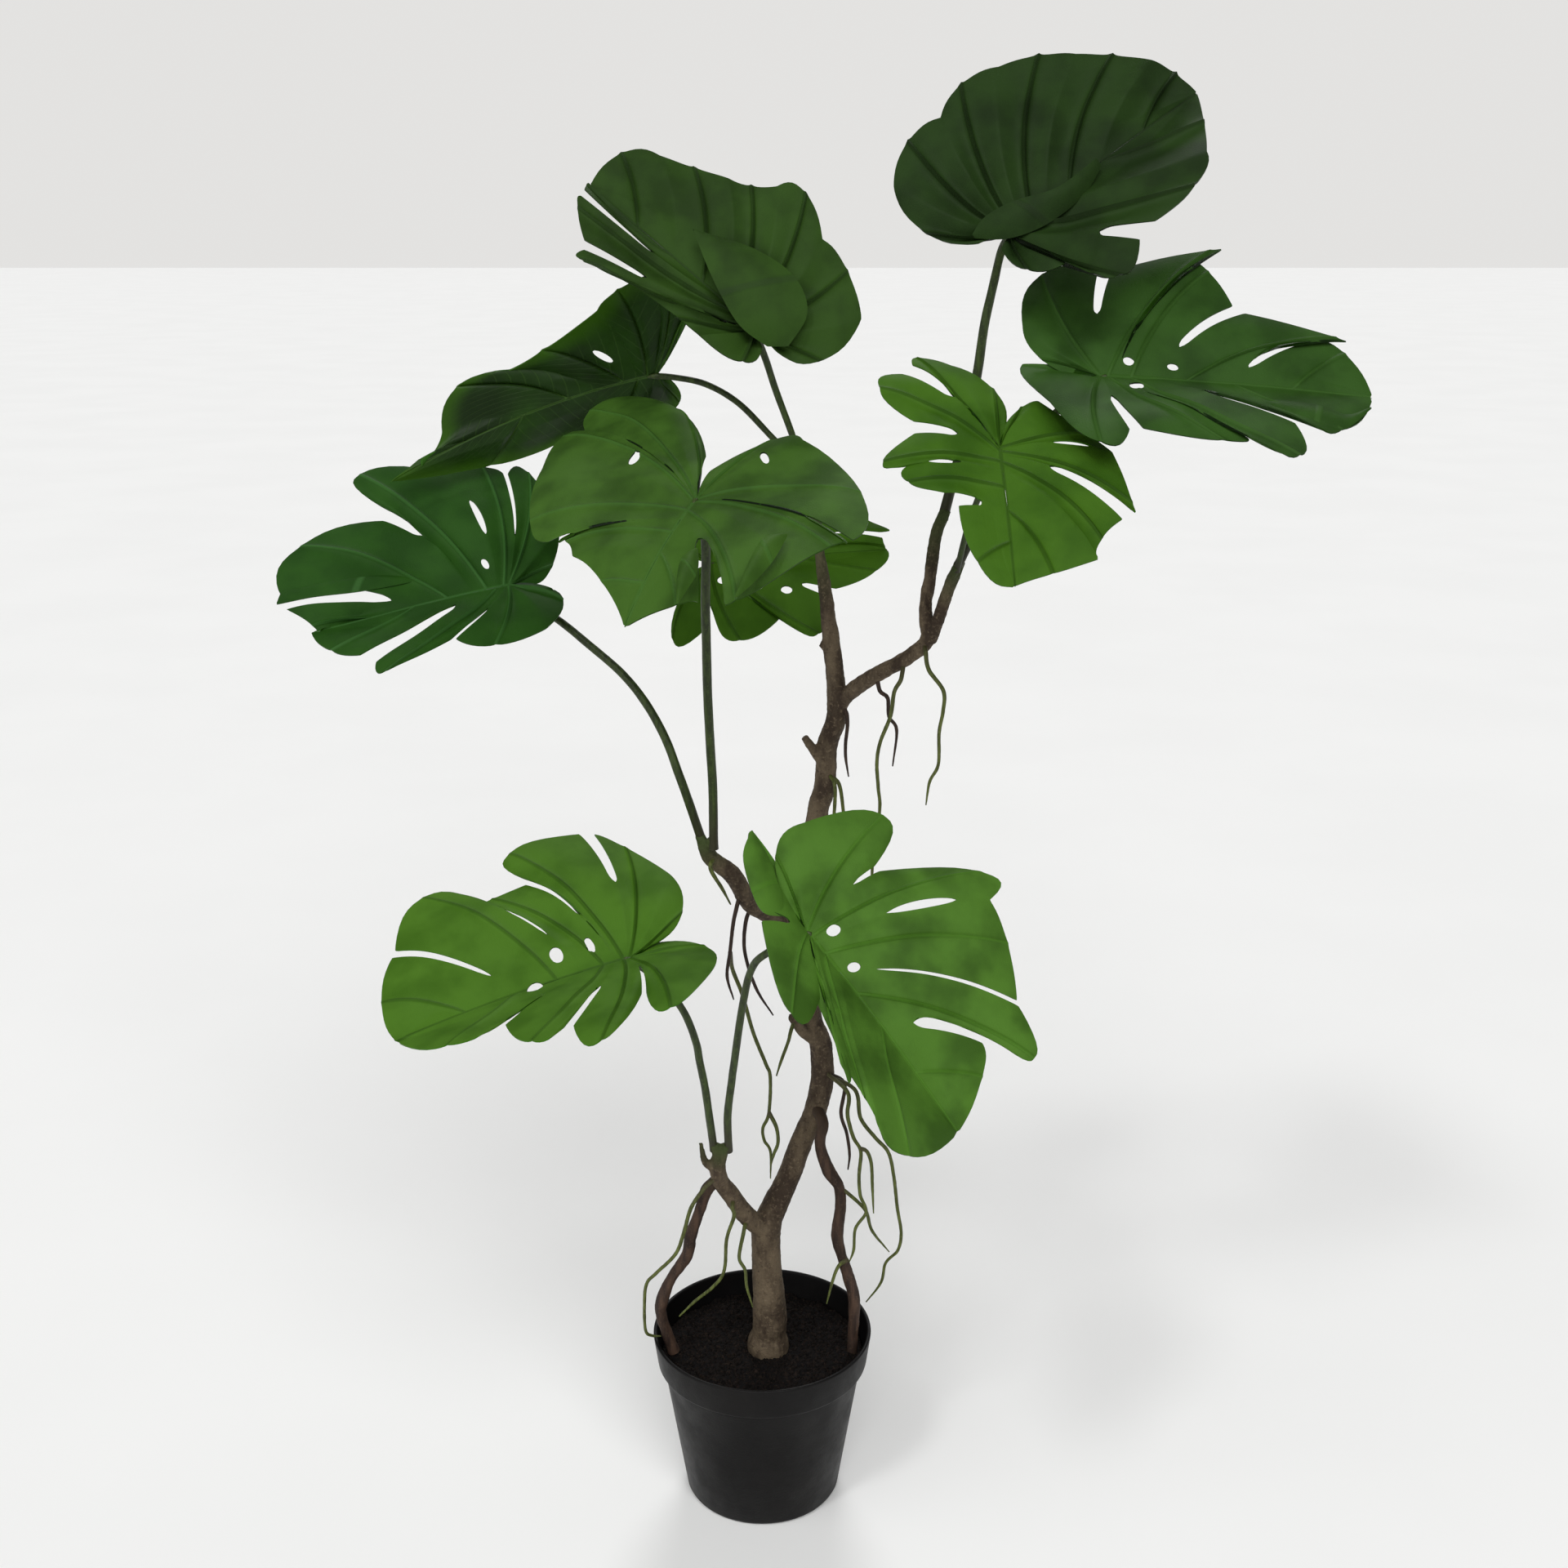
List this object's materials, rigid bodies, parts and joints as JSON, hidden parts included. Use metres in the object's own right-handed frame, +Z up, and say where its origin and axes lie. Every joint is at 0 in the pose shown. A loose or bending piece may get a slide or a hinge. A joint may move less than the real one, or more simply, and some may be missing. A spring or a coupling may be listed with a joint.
{
  "type": "potted monstera plant",
  "caption": "Split-leaf monstera with a branching woody stem, long leaf stalks and hanging aerial roots, standing in dark soil in a plain round tapered pot.",
  "frame": {"origin": "centre of the pot's foot, on the surface it stands on", "axes": "+Z up; -Y is the front, the side most leaves face; +X is to the right seen from the front"},
  "size_m": [0.6332, 0.3253, 0.9462],
  "materials": {
    "pot": "satin charcoal moulded plastic",
    "soil": "crumbly dark potting compost of bark and peat",
    "bark": "rough grey-brown bark",
    "aerial_root": "dull olive-brown root",
    "stalk": "satin olive green",
    "leaf_deep": "satin deep green with raised quilting between the veins",
    "leaf_mid": "satin mid green with fine pale veins",
    "leaf_bright": "satin bright green, lighter at the margins"
  },
  "bodies": {
    "root": {"pot": "pot", "soil": "soil", "trunk": "bark", "stalk_a": "stalk", "stalk_b": "stalk", "stalk_c": "stalk", "stalk_d": "stalk", "stalk_e": "stalk", "stalk_f": "stalk", "stalk_g": "stalk", "stalk_h": "stalk", "stalk_i": "stalk", "stalk_j": "stalk", "leaf_a": "leaf_deep", "leaf_b": "leaf_deep", "leaf_c": "leaf_mid", "leaf_d": "leaf_deep", "leaf_e": "leaf_deep", "leaf_f": "leaf_bright", "leaf_g": "leaf_bright", "leaf_h": "leaf_deep", "leaf_i": "leaf_bright", "leaf_j": "leaf_mid", "prop_root_left": "bark", "prop_root_right": "bark", "root_left_outer": "aerial_root", "root_left_inner": "aerial_root", "root_bulb": "aerial_root", "root_long_left": "aerial_root", "root_loop": "aerial_root", "root_stub_mid": "aerial_root", "root_mid_brown": "aerial_root", "root_mid_thick": "aerial_root", "root_mid_short": "aerial_root", "root_right_long": "aerial_root", "root_right_short": "aerial_root", "root_right_hook": "aerial_root", "root_main_a": "aerial_root", "root_main_b": "aerial_root", "root_main_c": "aerial_root", "root_dark": "aerial_root", "root_front_fork": "aerial_root", "root_front_side": "aerial_root", "root_far_right": "aerial_root", "root_cross": "aerial_root", "root_tail": "aerial_root"}
  },
  "joints": []
}
